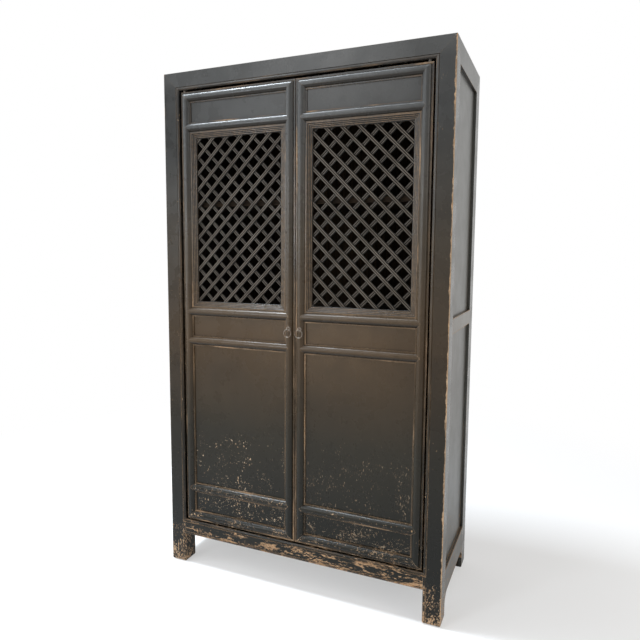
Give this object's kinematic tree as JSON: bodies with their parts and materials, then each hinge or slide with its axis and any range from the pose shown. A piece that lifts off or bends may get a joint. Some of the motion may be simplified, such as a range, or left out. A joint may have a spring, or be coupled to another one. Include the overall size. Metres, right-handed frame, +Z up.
{
  "type": "book cabinet",
  "caption": "Tall lacquered wooden book cabinet on four feet, with framed doors that have lattice windows above plain panels, wooden pivots and iron ring pulls, and shelves inside.",
  "frame": {"origin": "on the floor, at the middle of the width and of the whole depth with the pulls", "axes": "+X to the right seen from the front, -Y out of the doors, +Z up"},
  "size_m": [1.06, 0.4652, 1.85],
  "materials": {
    "carcass_lacquer": "black lacquer, worn to bare wood at the edges and the feet",
    "door_lacquer": "black lacquer, chipped and worn tan along the fillets",
    "panel_lacquer": "smooth black lacquer with soft reflections",
    "lattice_lacquer": "rubbed black lacquer, browner in the grooves",
    "inner_wood": "dark stained wood, unpolished",
    "iron": "hand-forged iron, grey-brown"
  },
  "bodies": {
    "carcass": {"front_left_post": "carcass_lacquer", "front_right_post": "carcass_lacquer", "rear_left_post": "carcass_lacquer", "rear_right_post": "carcass_lacquer", "top_front_rail": "carcass_lacquer", "top_rear_rail": "carcass_lacquer", "top_left_rail": "carcass_lacquer", "top_right_rail": "carcass_lacquer", "top_board": "carcass_lacquer", "bottom_front_rail": "carcass_lacquer", "bottom_rear_rail": "carcass_lacquer", "bottom_left_rail": "carcass_lacquer", "bottom_right_rail": "carcass_lacquer", "bottom_board": "inner_wood", "left_mid_rail": "carcass_lacquer", "right_mid_rail": "carcass_lacquer", "back_mid_rail": "carcass_lacquer", "left_side_upper_panel": "panel_lacquer", "left_side_lower_panel": "panel_lacquer", "right_side_upper_panel": "panel_lacquer", "right_side_lower_panel": "panel_lacquer", "back_panels": "inner_wood", "shelves": "inner_wood", "shelf_bearers": "inner_wood"},
    "left_door": {"left_outer_stile": "door_lacquer", "left_meeting_stile": "door_lacquer", "left_top_rail": "door_lacquer", "left_bottom_rail": "door_lacquer", "left_frieze_rail": "door_lacquer", "left_lattice_rail": "door_lacquer", "left_waist_rail": "door_lacquer", "left_base_rail": "door_lacquer", "left_frieze_panel": "panel_lacquer", "left_waist_panel": "panel_lacquer", "left_lower_panel": "panel_lacquer", "left_base_panel": "panel_lacquer", "left_lattice_frame": "lattice_lacquer", "left_front_lattice_bars": "lattice_lacquer", "left_back_lattice_bars": "lattice_lacquer", "left_pull_plate": "iron", "left_pull_staple": "iron"},
    "left_pull_ring": {"left_pull_ring": "iron"},
    "right_door": {"right_outer_stile": "door_lacquer", "right_meeting_stile": "door_lacquer", "right_top_rail": "door_lacquer", "right_bottom_rail": "door_lacquer", "right_frieze_rail": "door_lacquer", "right_lattice_rail": "door_lacquer", "right_waist_rail": "door_lacquer", "right_base_rail": "door_lacquer", "right_frieze_panel": "panel_lacquer", "right_waist_panel": "panel_lacquer", "right_lower_panel": "panel_lacquer", "right_base_panel": "panel_lacquer", "right_lattice_frame": "lattice_lacquer", "right_front_lattice_bars": "lattice_lacquer", "right_back_lattice_bars": "lattice_lacquer", "right_pull_plate": "iron", "right_pull_staple": "iron"},
    "right_pull_ring": {"right_pull_ring": "iron"}
  },
  "joints": [
    {"name": "left_door_pivot", "type": "hinge", "parent": "carcass", "child": "left_door", "pos_m": [-0.448, -0.20235, 0.178], "axis": [0, 0, -1], "range_deg": [0, 100]},
    {"name": "right_door_pivot", "type": "hinge", "parent": "carcass", "child": "right_door", "pos_m": [0.448, -0.20235, 0.178], "axis": [0, 0, 1], "range_deg": [0, 100]},
    {"name": "left_pull_ring_swing", "type": "hinge", "parent": "left_door", "child": "left_pull_ring", "pos_m": [-0.0215, -0.22615, 0.9453], "axis": [-1, 0, 0], "range_deg": [-8, 100]},
    {"name": "right_pull_ring_swing", "type": "hinge", "parent": "right_door", "child": "right_pull_ring", "pos_m": [0.0215, -0.22615, 0.9453], "axis": [-1, 0, 0], "range_deg": [-8, 100]}
  ]
}
